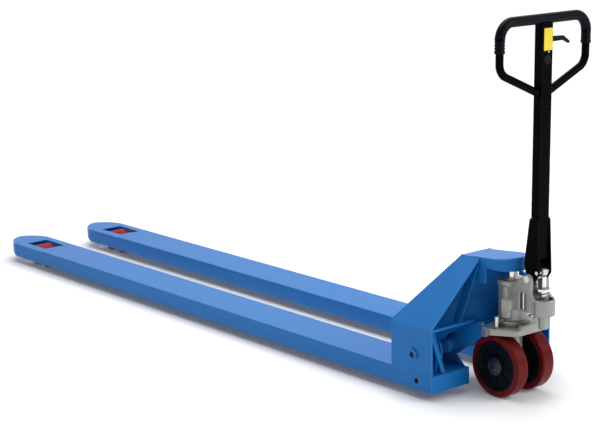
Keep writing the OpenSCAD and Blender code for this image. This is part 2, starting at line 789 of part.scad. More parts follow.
// Flat bars, struts, low plates and ribs welded behind the shoulders
module chassis_gussets() color(blue) both_sides() {
    inner = head_width / 2;
    outer = fork_spread / 2 - plate;
    under = heel_top - plate / cos(slope);
    bar_end = min(outer, fork_spread / 2 - (bar_z + bar_t - under) / tan(slope));
    translate([inner, heel_y, bar_z]) cube([bar_end - inner, bar_w, bar_t]);
    // Strut from the bar down to the skirt
    plate_xz(heel_y + 2, heel_y + bar_w + 4) polygon([
        [inner + strut_reach, bar_z + bar_t - 1], [inner + strut_reach + strut_t, bar_z + bar_t - 1],
        [inner + strut_t, skirt_z + 2], [inner, skirt_z + 2]
    ]);
    // Low plate beside the fork's slot, under the torque tube
    low_top = rocker_z - torque_r - 4;
    plate_yz(fork_x - fork_width / 2, plate) polygon([
        [heel_y + 20, heel_floor], [heel_y + 52, low_top],
        [heel_y + heel_length - fork_wall, low_top], [heel_y + heel_length - fork_wall, heel_floor]
    ]);
    // Rib behind the front panel, from the heel plate to the fork
    plate_xz(heel_y + plate + 1, heel_y + plate + 1 + rib_t) polygon([
        [outer, heel_top - rib_drop], [outer, heel_top - rib_drop - 17], [fork_x + 30, heel_floor],
        [fork_x + 16, heel_floor], [outer - 15, heel_top - rib_drop]
    ]);
}

module rocker_bolts() color(steel) both_sides()
    bar_x(fork_spread / 2 - plate - gap - bush_l, fork_spread / 2 + 2, rocker_y, rocker_z, rocker_bolt_r);

module piston_rod() color(steel) translate([0, steer_y, ram_bottom]) {
    cylinder(h = skirt_z - ram_bottom, r = ram_r);
    translate([0, 0, skirt_z - ram_bottom]) cylinder(h = 8, r = ram_r - 6);
}

module bracket_pins() color(steel) for (side = [-1, 1])
    bar_x(side * fork_x - strap_x - plate, side * fork_x + strap_x + plate, bracket_y, bracket_z, pin_r);

// ---- Rocker, push rods and roller brackets ----

module rocker_frame() color(blue) {
    inner = fork_spread / 2 - plate - gap;
    difference() {
        union() {
            bar_x(-inner, inner, rocker_y, rocker_z, torque_r);
            for (side = [-1, 1], s = [-1, 1])
                plate_yz(side * fork_x + s * (rod_t / 2 + slack + 4) - 4, 8)
                    link([rocker_y, rocker_z], 32, [rod_pin_y, rod_pin_z], 16);
            both_sides() plate_yz(arm_x, arm_t) {
                link([rocker_y, rocker_z], 36, [eye_y + 35, eye_z - 1], 22);
                link([eye_y + 35, eye_z - 1], 22, [eye_y, eye_z], eye_pin_r + eye_play + 5);
                link([eye_y + 35, eye_z + 2], 22, [eye_y + 6, eye_z + 6], 14);
            }
            // Cross plate between the upper arms
            translate([-arm_x, heel_y + 12, eye_z - 16]) cube([2 * arm_x, 34, 8]);
        }
        both_sides() bar_x(inner - bush_l, inner + 1, rocker_y, rocker_z, bush_r);
        for (side = [-1, 1])
            bar_x(side * fork_x - 18, side * fork_x + 18, rod_pin_y, rod_pin_z, pin_r);
        // Long eye: the pin creeps along the arm as the truck lifts
        both_sides() plate_yz(arm_x - 1, arm_t + 2) eye_slot();
    }
}

// Outline of the slot in the upper arm, from the pin at rest towards the rocker's axis
module eye_slot() {
    a = atan2(rocker_z - eye_z, rocker_y - eye_y);
    translate([eye_y, eye_z]) rotate(a) {
        circle(eye_pin_r + eye_play);
        translate([16, 0]) circle(eye_pin_r + eye_play);
        translate([0, -eye_pin_r - eye_play]) square([16, 2 * (eye_pin_r + eye_play)]);
    }
}

module rocker_bushes() color(bronze) both_sides() difference() {
    inner = fork_spread / 2 - plate - gap;
    bar_x(inner - bush_l, inner, rocker_y, rocker_z, bush_r);
    bar_x(inner - bush_l - 1, inner + 1, rocker_y, rocker_z, rocker_bolt_r + fit);
}

module rod_pins() color(steel) for (side = [-1, 1])
    bar_x(side * fork_x - rod_t / 2 - slack - 8, side * fork_x + rod_t / 2 + slack + 8, rod_pin_y, rod_pin_z, pin_r);

// Round bar from the rocker, ending in a two-legged fork around the rollers
module push_rod(side) color(steel) translate([side * fork_x, rod_pin_y, rod_pin_z]) rotate([rod_tilt, 0, 0])
    difference() {
        union() {
            plate_yz(-rod_t / 2, rod_t) {
                circle(15);
                translate([0, -rod_t / 2]) square([50, rod_t]);
            }
            translate([0, 40, 0]) rotate([-90, 0, 0]) cylinder(h = rod_l - rod_legs_l - 44, r = rod_r);
            translate([-strap_x - plate, rod_l - rod_legs_l - 8, -9]) cube([2 * (strap_x + plate), 16, 18]);
            for (s = [-1, 1]) plate_yz(s * (strap_x + plate / 2) - plate / 2, plate)
                link([rod_l - rod_legs_l, 0], 7.5, [rod_l, 0], 10);
        }
        bar_x(-rod_t, rod_t, 0, 0, pin_r + fit);
        plate_yz(-strap_x - plate - 1, 2 * (strap_x + plate + 1)) {
            translate([rod_l, 0]) circle(stub_r + 1.8);
            translate([rod_l - 12, 0]) circle(stub_r + 1.8);
            translate([rod_l - 12, -stub_r - 1.8]) square([12, 2 * stub_r + 3.6]);
        }
    }

module push_rod_left() push_rod(-1);
module push_rod_right() push_rod(1);

// Two cheeks on a cross tube, with stub pins for the push rod
module roller_bracket(side) color(blue) translate([side * fork_x, 0, 0]) difference() {
    union() {
        for (s = [-1, 1]) plate_yz(s * (bracket_x + plate / 2) - plate / 2, plate)
            link([bracket_y, bracket_z], 16, [bogie_y, roller_r], 15);
        bar_x(-bracket_x, bracket_x, bracket_y, bracket_z, pin_r + 4);
        for (s = [-1, 1])
            bar_x(s * (strap_x + plate / 2 - 0.5) - plate / 2 - 1, s * (strap_x + plate / 2 - 0.5) + plate / 2 + 1,
                front_pin_y, front_pin_z, stub_r);
    }
    bar_x(-bracket_x - plate - 1, bracket_x + plate + 1, bracket_y, bracket_z, pin_r + fit);
    bar_x(-bracket_x - plate - 1, bracket_x + plate + 1, bogie_y, roller_r, pin_r + fit);
}

module roller_bracket_left() roller_bracket(-1);
module roller_bracket_right() roller_bracket(1);

module bogie_pins(side) color(steel) for (s = [-1, 1])
    bar_x(
        side * fork_x + s * (bogie_x + bracket_x + plate) / 2 - (bracket_x + plate - bogie_x) / 2,
        side * fork_x + s * (bogie_x + bracket_x + plate) / 2 + (bracket_x + plate - bogie_x) / 2,
        bogie_y, roller_r, pin_r
    );

module bogie_pins_left() bogie_pins(-1);
module bogie_pins_right() bogie_pins(1);

// Two side bars with the axles of a pair of load rollers
module bogie(side) color(steel) translate([side * fork_x, 0, 0]) {
    rear = bogie_y - roller_pitch / 2;
    front = bogie_y + roller_pitch / 2;
    for (s = [-1, 1]) difference() {
        plate_yz(s * (bogie_x + plate / 2) - plate / 2, plate) {
            translate([rear, roller_r]) circle(13);
            translate([front, roller_r]) circle(13);
            translate([rear, roller_r - 13]) square([roller_pitch, 26]);
        }
        bar_x(-bogie_x - plate - 1, bogie_x + plate + 1, bogie_y, roller_r, pin_r + fit);
        for (y = [rear, front]) bar_x(-bogie_x - plate - 1, bogie_x + plate + 1, y, roller_r, pin_r);
    }
    for (y = [rear, front]) bar_x(-bogie_x - plate, bogie_x + plate, y, roller_r, pin_r);
}

module bogie_left() bogie(-1);
module bogie_right() bogie(1);

// end is -1 for the rear roller of the pair and 1 for the front one
module roller_turned(side, end) {
    translate([side * fork_x, bogie_y + end * roller_pitch / 2, roller_r]) rotate([0, 90, 0])
        rotate_extrude() children();
}

module roller_tread(side, end) color(roller_red) roller_turned(side, end)
    tread_section(roller_r - 9, roller_r, roller_width, 3);

module roller_core(side, end) color(steel) roller_turned(side, end)
    translate([pin_r + fit, -roller_width / 2]) square([roller_r - 9 - pin_r - fit, roller_width]);

module tread_left_rear() roller_tread(-1, -1);
module tread_left_front() roller_tread(-1, 1);
module tread_right_rear() roller_tread(1, -1);
module tread_right_front() roller_tread(1, 1);
module core_left_rear() roller_core(-1, -1);
module core_left_front() roller_core(-1, 1);
module core_right_rear() roller_core(1, -1);
module core_right_front() roller_core(1, 1);

base_plate();
steer_bearing();
base_pins();
hold_down_posts();
pump_body();
pump_gland();
steer_axle();
snap_rings();
plunger_spring();
pump_screws();
valve_arm();
plunger();
tyre_left();
tyre_right();
wheel_hub_left();
wheel_hub_right();
wheel_bearings_left();
wheel_bearings_right();
handle_yoke();
handle_tube();
handle_ring();
handle_grips();
handle_axle();
roller_pin();
press_roller();
release_lever();
release_rod();
fork_left();
fork_right();
nose_left();
nose_right();
heel_left();
heel_right();
shoulder_left();
shoulder_right();
head_cap();
back_panel();
chassis_gussets();
rocker_bolts();
piston_rod();
bracket_pins();
rocker_frame();
rocker_bushes();
rod_pins();
push_rod_left();
push_rod_right();
roller_bracket_left();
roller_bracket_right();
bogie_pins_left();
bogie_pins_right();
bogie_left();
bogie_right();
tread_left_rear();
tread_left_front();
tread_right_rear();
tread_right_front();
core_left_rear();
core_left_front();
core_right_rear();
core_right_front();
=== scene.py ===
# Hand pallet truck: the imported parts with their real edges, welds, springs, grips and finishes.
import json
import math
import bmesh
import bpy
from mathutils import Matrix, Vector

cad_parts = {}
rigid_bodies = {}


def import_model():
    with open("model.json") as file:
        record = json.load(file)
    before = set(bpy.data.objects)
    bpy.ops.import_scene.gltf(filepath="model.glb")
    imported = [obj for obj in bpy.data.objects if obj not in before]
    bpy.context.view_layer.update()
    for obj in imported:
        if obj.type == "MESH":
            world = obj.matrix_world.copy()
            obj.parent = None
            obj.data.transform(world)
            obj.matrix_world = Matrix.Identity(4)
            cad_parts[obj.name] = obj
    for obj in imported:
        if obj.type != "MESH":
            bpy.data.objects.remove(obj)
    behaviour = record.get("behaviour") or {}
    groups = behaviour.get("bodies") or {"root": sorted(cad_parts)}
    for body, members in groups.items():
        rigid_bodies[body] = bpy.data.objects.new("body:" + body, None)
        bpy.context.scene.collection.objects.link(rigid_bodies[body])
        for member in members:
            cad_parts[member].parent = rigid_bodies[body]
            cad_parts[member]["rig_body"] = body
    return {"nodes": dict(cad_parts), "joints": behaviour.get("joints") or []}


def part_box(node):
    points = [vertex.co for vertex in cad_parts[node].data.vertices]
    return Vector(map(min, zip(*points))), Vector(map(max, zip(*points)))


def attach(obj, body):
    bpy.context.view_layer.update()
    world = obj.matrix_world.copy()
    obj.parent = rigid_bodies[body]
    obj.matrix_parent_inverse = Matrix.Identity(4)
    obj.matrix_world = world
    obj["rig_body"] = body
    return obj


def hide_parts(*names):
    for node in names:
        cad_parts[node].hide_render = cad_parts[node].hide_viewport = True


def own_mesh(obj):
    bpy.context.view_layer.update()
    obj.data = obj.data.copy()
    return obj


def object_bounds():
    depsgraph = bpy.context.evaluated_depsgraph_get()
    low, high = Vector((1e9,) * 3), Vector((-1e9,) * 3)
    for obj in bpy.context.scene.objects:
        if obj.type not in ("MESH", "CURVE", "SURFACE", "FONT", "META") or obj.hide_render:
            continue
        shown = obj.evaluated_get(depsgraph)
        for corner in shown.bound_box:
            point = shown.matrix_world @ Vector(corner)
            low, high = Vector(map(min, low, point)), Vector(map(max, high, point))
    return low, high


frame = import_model()
cad_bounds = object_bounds()
mm = 0.001

# ---- Studio ----
# A long lens standing behind the left fork's heel, on a pale floor.
# The main softbox stands high behind the operator, a dim one lights the left sides, one hangs
# overhead, and the air is bright beyond the fork tips and dim behind the operator.

low, high = cad_bounds
eye = Vector((low[0] - 3.379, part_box("heel_left")[0].y - 3.512, 1.672))
heading = math.radians(-39.3)
dip = math.radians(12.4)
bank = math.radians(-1.3)
ahead = Vector((-math.sin(heading) * math.cos(dip), math.cos(heading) * math.cos(dip), -math.sin(dip)))
level = Vector((math.cos(heading), math.sin(heading), 0))
upright = level.cross(ahead)
across = level * math.cos(bank) + upright * math.sin(bank)
upward = upright * math.cos(bank) - level * math.sin(bank)
lens = bpy.data.cameras.new("long_lens")
lens.lens = 98.7
lens.sensor_width = 36
camera = bpy.data.objects.new("studio_camera", lens)
camera.matrix_world = Matrix.Translation(eye) @ Matrix((across, upward, -ahead)).transposed().to_4x4()
bpy.context.scene.collection.objects.link(camera)
bpy.context.scene.camera = camera


def softbox(name, place, aim, size, power):
    light = bpy.data.lights.new(name, "AREA")
    light.shape = "RECTANGLE"
    light.size, light.size_y = size
    light.energy = power
    lamp = bpy.data.objects.new(name, light)
    facing = (Vector(aim) - Vector(place)).to_track_quat("-Z", "Y").to_matrix().to_4x4()
    lamp.matrix_world = Matrix.Translation(place) @ facing
    bpy.context.scene.collection.objects.link(lamp)


softbox("overhead_softbox", (0.3, 0.2, 3.6), (0, 0, 0), (3.0, 4.4), 128)
softbox("main_softbox", (1.6, -4.4, 2.6), (0, -1.0, 0.3), (2.2, 1.8), 84)
softbox("left_softbox", (-3.6, -1.2, 1.9), (0, -0.3, 0.3), (2.2, 1.4), 3)

dim_air = 0.30
bright_air = 1.10
world = bpy.data.worlds.new("studio_air")
world.use_nodes = True
air = world.node_tree
facing = air.nodes.new("ShaderNodeVectorMath")
facing.operation = "DOT_PRODUCT"
facing.inputs[1].default_value = (-math.sin(heading), math.cos(heading), 0)
spread = air.nodes.new("ShaderNodeMapRange")
spread.inputs["From Min"].default_value = 0.25
spread.inputs["From Max"].default_value = 0.75
spread.inputs["To Min"].default_value = dim_air
spread.inputs["To Max"].default_value = bright_air
outlook = air.nodes.new("ShaderNodeTexCoord")
air.links.new(outlook.outputs["Generated"], facing.inputs[0])
air.links.new(facing.outputs["Value"], spread.inputs["Value"])
air.links.new(spread.outputs["Result"], air.nodes["Background"].inputs["Strength"])
air.nodes["Background"].inputs["Color"].default_value = (0.98, 0.99, 1.0, 1)
bpy.context.scene.world = world
bpy.context.scene.view_settings.view_transform = "Standard"

# ---- Forks and noses ----
# Each fork is a channel folded from 5 mm steel sheet; its nose is pressed, butt-welded on and has a
# window over the load rollers. They are shot-blasted and powder coated in one satin blue.


class Wire:
    """A shader socket that can stand in a sum: every operator adds one Math node."""

    def __init__(self, finish, socket):
        self.finish = finish
        self.socket = socket

    def math(self, operation, first, second):
        return self.finish.add("ShaderNodeMath", {"operation": operation}, {0: first, 1: second})

    def __add__(self, other):
        return self.math("ADD", self, other)

    def __mul__(self, other):
        return self.math("MULTIPLY", self, other)

    def __rsub__(self, other):
        return self.math("SUBTRACT", other, self)

    def __sub__(self, other):
        return self.math("SUBTRACT", self, other)

    __radd__ = __add__
    __rmul__ = __mul__


class Finish:
    """One material of the truck, with its constants set on the Principled shader's own sockets."""

    def __init__(self, name, **constants):
        self.material = bpy.data.materials.new(name)
        self.material.use_nodes = True
        self.tree = self.material.node_tree
        self.shader = self.tree.nodes["Principled BSDF"]
        self.place = self.add("ShaderNodeTexCoord", {}, {}, "Object")
        self.set(**constants)

    def add(self, kind, settings, sockets, out=0):
        node = self.tree.nodes.new(kind)
        for key, value in settings.items():
            setattr(node, key, value)
        self.join(node, sockets)
        return Wire(self, node.outputs[out])

    def join(self, node, sockets):
        for key, value in sockets.items():
            if isinstance(value, Wire):
                self.tree.links.new(value.socket, node.inputs[key])
            else:
                node.inputs[key].default_value = value

    def set(self, **inputs):
        self.join(self.shader, {key.replace("_", " "): value for key, value in inputs.items()})

    def noise(self, scale, detail=2.0, stretch=(1, 1, 1), roughness=0.5):
        spread = self.add("ShaderNodeMapping", {}, {"Vector": self.place, "Scale": stretch})
        return self.add("ShaderNodeTexNoise", {}, {
            "Vector": spread, "Scale": scale, "Detail": detail, "Roughness": roughness})

    def band(self, value, start, end):
        """0 below start, 1 above end."""
        return self.add("ShaderNodeMapRange", {"interpolation_type": "SMOOTHSTEP"}, {
            "Value": value, "From Min": start, "From Max": end})

    def blend(self, share, first, second):
        """The first colour where share is 0, the second where it is 1."""
        return self.add("ShaderNodeMix", {"data_type": "RGBA"}, {0: share, 6: first, 7: second}, 2)

    def bump(self, height, distance, strength=1.0):
        relief = self.add("ShaderNodeBump", {}, {
            "Height": height, "Distance": distance, "Strength": strength})
        self.set(Normal=relief)


def shade(colour, factor):
    return tuple(min(1.0, channel * factor) for channel in colour) + (1.0,)


def powder_coat(name, colour, roughness, wear, gloss=0.5):
    """Satin powder coat: orange peel, slow colour drift, and fine scuffs along the truck."""
    coat = Finish(name, Metallic=0.0, Specular_IOR_Level=gloss, Coat_Roughness=0.25)
    drift = coat.noise(5.0, 3.0)
    peel = coat.noise(520.0, 2.0)
    scuff = coat.noise(60.0, 5.0, (1.0, 0.06, 1.0), 0.62)
    marks = coat.band(scuff, 0.60, 0.78) * wear
    tone = coat.blend(drift, shade(colour, 0.90), shade(colour, 1.10))
    coat.set(Base_Color=coat.blend(marks, tone, shade(colour, 1.55)),
             Roughness=drift * 0.08 + marks * 0.18 + (roughness - 0.04), Coat_Weight=gloss * 0.24)
    coat.bump(peel + marks * 0.6, 0.00022, 0.55)
    return coat.material


blue = (0.010, 0.155, 0.470)
blue_coat = powder_coat("blue_powder_coat", blue, 0.40, 0.35, 0.14)
# Edges, rims and weld beads get a lighter, glossier blue: partly paint worn thin, partly a painted highlight
# where edges catch the light.
blue_edge_wear_and_painted_highlight = powder_coat("blue_coat_edge_wear_and_painted_highlight", shade(blue, 1.30)[:3], 0.30, 0.15, 0.45)


def finished(name, bm, body, slot, *materials, replaced=()):
    """Turns a bmesh into a piece that rides on its body and takes the place of its CAD nodes."""
    mesh = bpy.data.meshes.new(name)
    for face in bm.faces:
        face.smooth = True
    bm.to_mesh(mesh)
    bm.free()
    piece = bpy.data.objects.new(name, mesh)
    bpy.context.scene.collection.objects.link(piece)
    for material in materials:
        mesh.materials.append(material)
    even = piece.modifiers.new("even_normals", "WEIGHTED_NORMAL")
    even.keep_sharp = True
    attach(piece, body)
    if replaced:
        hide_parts(*replaced)
    return piece


def merged_copy(node):
    """The node's shape as whole flat faces."""
    bm = bmesh.new()
    bm.from_mesh(frame["nodes"][node].data)
    bmesh.ops.remove_doubles(bm, verts=bm.verts, dist=0.01 * mm)
    bmesh.ops.dissolve_limit(bm, angle_limit=math.radians(0.4), verts=bm.verts, edges=bm.edges)
    return bm


def break_edges(bm, width, segments=2, angle=35, where=None):
    """Rounds the outward edges that are sharper than angle and gives the rounded faces the second material;
    on painted parts that is a lighter coat, partly wear and partly a painted highlight.
    """
    sharp = []
    for edge in bm.edges:
        if edge.is_manifold and edge.is_convex and edge.calc_face_angle() > math.radians(angle):
            if where is None or where(edge):
                sharp.append(edge)
    rounded = bmesh.ops.bevel(
        bm, geom=sharp, offset=width, offset_type="OFFSET", segments=segments, profile=0.5,
        affect="EDGES", clamp_overlap=False, material=-1)
    for face in rounded["faces"]:
        face.material_index = 1


def body_of(node):
    return frame["nodes"][node]["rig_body"]


def eased(node, slot, width, *materials, segments=2, angle=35):
    """The CAD node's own shape with its edges broken as in the real piece."""
    bm = merged_copy(node)
    break_edges(bm, width, segments, angle)
    return finished(node + "_eased", bm, body_of(node), slot, *materials, replaced=(node,))


def weld(name, body, slot, material, radius, corners, pitch=2.6 * mm):
    """A bead laid along straight runs between the corners: rings of eight, every second one thinner."""
    bm = bmesh.new()
    for start, end in zip(corners, corners[1:]):
        run = Vector(end) - Vector(start)
        turn = run.to_track_quat("Z", "Y").to_matrix().to_4x4()
        bead = bmesh.ops.create_circle(
            bm, cap_ends=True, segments=8, radius=radius * 0.8,
            matrix=Matrix.Translation(start) @ turn)["verts"]
        ring = list({edge for vert in bead for edge in vert.link_edges})
        steps = max(2, round(run.length / pitch))
        for step in range(steps):
            grown = bmesh.ops.extrude_edge_only(bm, edges=ring)["geom"]
            ring = [e for e in grown if isinstance(e, bmesh.types.BMEdge)]
            verts = [v for v in grown if isinstance(v, bmesh.types.BMVert)]
            bmesh.ops.translate(bm, verts=verts, vec=run / steps)
            swell = 1.3 if step % 2 == 0 else 1 / 1.3
            here = Matrix.Translation(Vector(start) + run * (step + 1) / steps)
            bmesh.ops.scale(bm, verts=verts, vec=(swell,) * 3, space=here.inverted())
        bmesh.ops.contextual_create(bm, geom=ring)
    bmesh.ops.recalc_face_normals(bm, faces=bm.faces)
    return finished(name, bm, body, slot, material)


nose_rim = 3.6 * mm
rim_gap = 50 * mm
window_end = 130 * mm
for side in ("left", "right"):
    eased("fork_" + side, "blue_paint", 0.9 * mm, blue_coat, blue_edge_wear_and_painted_highlight)
    nose_low, nose_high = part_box("nose_" + side)
    nose_x = (nose_low.x + nose_high.x) / 2

    def on_rim(edge):
        spot = (edge.verts[0].co + edge.verts[1].co) / 2
        over_rollers = abs(spot.x - nose_x) < rim_gap and spot.y < nose_high.y - window_end
        return spot.z > nose_high.z - 1 * mm and spot.y > nose_low.y + 1 * mm and not over_rollers

    bm = merged_copy("nose_" + side)
    break_edges(bm, nose_rim, 4, 50, on_rim)
    break_edges(bm, 0.7 * mm, 2, 50)
    finished("nose_shell_" + side, bm, "chassis", "blue_paint", blue_coat, blue_edge_wear_and_painted_highlight,
             replaced=("nose_" + side,))
    seam = nose_low.y
    weld("nose_weld_" + side, "chassis", "blue_paint", blue_edge_wear_and_painted_highlight, 1.6 * mm, [
        (nose_low.x, seam, nose_low.z + 2 * mm), (nose_low.x, seam, nose_high.z - 3 * mm),
        (nose_low.x + 3 * mm, seam, nose_high.z - 0.6 * mm),
        (nose_high.x - 3 * mm, seam, nose_high.z - 0.6 * mm),
        (nose_high.x, seam, nose_high.z - 3 * mm), (nose_high.x, seam, nose_low.z + 2 * mm)])

# ---- Heels, shoulders and head ----
# Flame-cut 6 mm plates close each heel; slanted shoulders climb from them to the head cap that the
# ram lifts. All are fillet-welded and coated with the forks.

for side, sign in (("left", -1), ("right", 1)):
    eased("heel_" + side, "blue_paint", 0.7 * mm, blue_coat, blue_edge_wear_and_painted_highlight)
    eased("shoulder_" + side, "blue_paint", 1.0 * mm, blue_coat, blue_edge_wear_and_painted_highlight)
    heel_low, heel_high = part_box("heel_" + side)
    fork_low, fork_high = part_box("fork_" + side)
    outside = max(abs(fork_low.x), abs(fork_high.x)) * sign
    weld("heel_weld_" + side, "chassis", "blue_paint", blue_edge_wear_and_painted_highlight, 1.5 * mm, [
        (outside, heel_low.y + 1 * mm, heel_low.z), (outside, heel_high.y, heel_low.z)])
    shoulder_low, shoulder_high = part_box("shoulder_" + side)
    inner_x = min(abs(shoulder_low.x), abs(shoulder_high.x)) * sign
    weld("shoulder_weld_" + side, "chassis", "blue_paint", blue_edge_wear_and_painted_highlight, 2.0 * mm, [
        (inner_x, shoulder_low.y + 2 * mm, shoulder_high.z),
        (inner_x, shoulder_low.y + 78 * mm, shoulder_high.z)])

cap_rim = 6 * mm
cap_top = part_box("head_cap")[1].z


def on_cap_top(edge):
    return max(face.normal.z for face in edge.link_faces) > 0.9 and edge.verts[0].co.z > cap_top - 25 * mm


bm = merged_copy("head_cap")
break_edges(bm, cap_rim, 4, 50, on_cap_top)
break_edges(bm, 0.8 * mm, 2, 50)
finished("head_cap_shell", bm, "chassis", "blue_paint", blue_coat, blue_edge_wear_and_painted_highlight, replaced=("head_cap",))
for node in ("back_panel", "chassis_gussets"):
    eased(node, "blue_paint", 0.7 * mm, blue_coat, blue_edge_wear_and_painted_highlight)


# ---- Access plugs ----
# A near-black moulded plug sits in the hole in each fork's side, over the rear pin of the push rod.
# Its black is painted shade, standing in for the dark inside of the open hole; it has a dished face and a
# rolled lip.


def middle(node):
    return (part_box(node)[0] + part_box(node)[1]) / 2


def turned(name, body, slot, material, outline, centre, axis, steps=64, replaced=()):
    """Spins an outline of (radius, height) points about an axis; ends that lie on the axis close."""
    bm = bmesh.new()
    corners = [bm.verts.new((radius, 0, height)) for radius, height in outline]
    edges = [bm.edges.new(pair) for pair in zip(corners, corners[1:])]
    if outline[0][0] > 0 and outline[-1][0] > 0:
        edges.append(bm.edges.new((corners[-1], corners[0])))
    bmesh.ops.spin(
        bm, geom=corners + edges, cent=(0, 0, 0), axis=(0, 0, 1), angle=math.tau, steps=steps, use_merge=True)
    bmesh.ops.remove_doubles(bm, verts=bm.verts, dist=0.001 * mm)
    bmesh.ops.recalc_face_normals(bm, faces=bm.faces)
    turn = Vector(axis).to_track_quat("Z", "Y").to_matrix().to_4x4()
    bmesh.ops.transform(bm, matrix=Matrix.Translation(centre) @ turn, verts=bm.verts)
    return finished(name, bm, body, slot, material, replaced=replaced)


def moulded(name, colour, roughness, grain, depth, gloss=0.3):
    """Moulded plastic or rubber: an even colour, a fine grain and a little bloom."""
    skin = Finish(name, Metallic=0.0, Specular_IOR_Level=gloss)
    bloom = skin.noise(18.0, 4.0)
    skin.set(Base_Color=skin.blend(bloom, shade(colour, 0.8), shade(colour, 1.35)),
             Roughness=bloom * 0.16 + (roughness - 0.08))
    skin.bump(skin.noise(grain, 2.0), depth, 0.5)
    return skin.material


# The plug's near-black stands in for the shade inside the hole: painted shade.
painted_shade_plug = moulded("painted_shade_plug", (0.003, 0.005, 0.009), 0.55, 900.0, 0.0001, 0.12)
for side, sign in (("left", -1), ("right", 1)):
    fork_low, fork_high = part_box("fork_" + side)
    pin = middle("rod_pins")
    outside = (fork_low.x if sign < 0 else fork_high.x) - sign * 4.5 * mm
    turned("hole_shade_plug_" + side, "chassis", "blue_paint", painted_shade_plug, [
        (0, 0), (8.6 * mm, 0), (8.8 * mm, 1.5 * mm), (8.8 * mm, 3.6 * mm), (8.0 * mm, 4.3 * mm),
        (6.6 * mm, 4.3 * mm), (6.2 * mm, 2.6 * mm), (0, 2.2 * mm)], (outside, pin.y, pin.z), (sign, 0, 0), 40)

# ---- Rocker ----
# A 48 mm torque tube across the truck carries the arms; it rocks in bronze bushes on two bolts that
# sit deep in the hexagon bosses. The bolts are blackened steel.


def dress(material, *nodes):
    """The CAD node's shape stays; it only gets its finish."""
    for node in nodes:
        mesh = frame["nodes"][node].data
        mesh.materials.clear()
        mesh.materials.append(material)


eased("rocker_frame", "blue_paint", 1.0 * mm, blue_coat, blue_edge_wear_and_painted_highlight)


def metal(name, colour, roughness, lines, drift=0.10, depth=0.00004):
    """Bare or plated steel: fine tool lines, a slow change of gloss and faint handling stains."""
    steel = Finish(name, Metallic=1.0)
    stain = steel.noise(14.0, 4.0)
    tool = steel.noise(lines, 3.0, (1.0, 1.0, 6.0))
    steel.set(Base_Color=steel.blend(stain, shade(colour, 1 - drift), shade(colour, 1 + drift)),
              Roughness=stain * 0.16 + tool * 0.08 + (roughness - 0.12))
    steel.bump(tool, depth, 0.6)
    return steel.material


black_steel = metal("blackened_steel", (0.035, 0.040, 0.050), 0.42, 300.0)
bronze = metal("bush_bronze", (0.52, 0.34, 0.13), 0.34, 420.0)
zinc = metal("zinc_plate", (0.63, 0.64, 0.63), 0.34, 260.0)
dress(black_steel, "rocker_bolts", "rod_pins")
dress(bronze, "rocker_bushes", "steer_bearing")

hub = middle("rocker_bolts")
arm_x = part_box("base_pins")[1].x - 22 * mm
for side, sign in (("left", -1), ("right", 1)):
    turned("tube_weld_" + side, "rocker", "blue_paint", blue_edge_wear_and_painted_highlight, [
        (24.0 * mm, -2.4 * mm), (27.4 * mm, 0), (24.0 * mm, 2.4 * mm)],
        (sign * (arm_x + 4 * mm), hub.y, hub.z), (sign, 0, 0), 48)

# ---- Push rods and roller linkage ----
# Round bars run under the forks from the rocker to the roller brackets. The bars, pins and bogies
# are plain zinc-plated steel; the brackets are coated blue.

for side in ("left", "right"):
    eased("push_rod_" + side, "bright_steel", 0.6 * mm, zinc, zinc)
    eased("bogie_" + side, "bright_steel", 0.6 * mm, zinc, zinc)
    eased("roller_bracket_" + side, "blue_paint", 0.7 * mm, blue_coat, blue_edge_wear_and_painted_highlight)
    dress(zinc, "bogie_pins_" + side)
dress(zinc, "bracket_pins")

# ---- Load rollers ----
# Four 80 mm rollers carry the fork tips, two on each bogie.
# Red polyurethane is cast on a black nylon core that turns on its pin.


def polyurethane(name, colour, roughness):
    """Cast polyurethane: slightly waxy, with a faint moulding grain and dust in the running surface."""
    tread = Finish(name, Metallic=0.0, Specular_IOR_Level=0.1, Coat_Roughness=0.3)
    cloud = tread.noise(22.0, 4.0)
    dust = tread.band(tread.noise(90.0, 5.0, (0.4, 1.0, 1.0)), 0.52, 0.75) * 0.25
    tone = tread.blend(cloud, shade(colour, 0.82), shade(colour, 1.15))
    tread.set(Base_Color=tread.blend(dust, tone, shade(colour, 1.5)),
              Roughness=cloud * 0.14 + dust * 0.4 + (roughness - 0.07), Coat_Weight=0.05)
    tread.bump(tread.noise(420.0, 2.0), 0.0001, 0.35)
    return tread.material


roller_red = polyurethane("roller_polyurethane", (0.27, 0.008, 0.022), 0.40)
tyre_red = polyurethane("tyre_polyurethane", (0.125, 0.005, 0.006), 0.36)
nylon = moulded("black_nylon", (0.002, 0.004, 0.007), 0.50, 700.0, 0.00012, 0.10)
for side in ("left", "right"):
    for end in ("rear", "front"):
        dress(roller_red, f"tread_{side}_{end}")
        dress(nylon, f"core_{side}_{end}")

# ---- Steering wheels ----
# Two 200 mm wheels side by side on one axle: dark red polyurethane cast on dished black nylon, two
# ball bearings each, a pressed cap with a nut outside and a snap ring behind it.

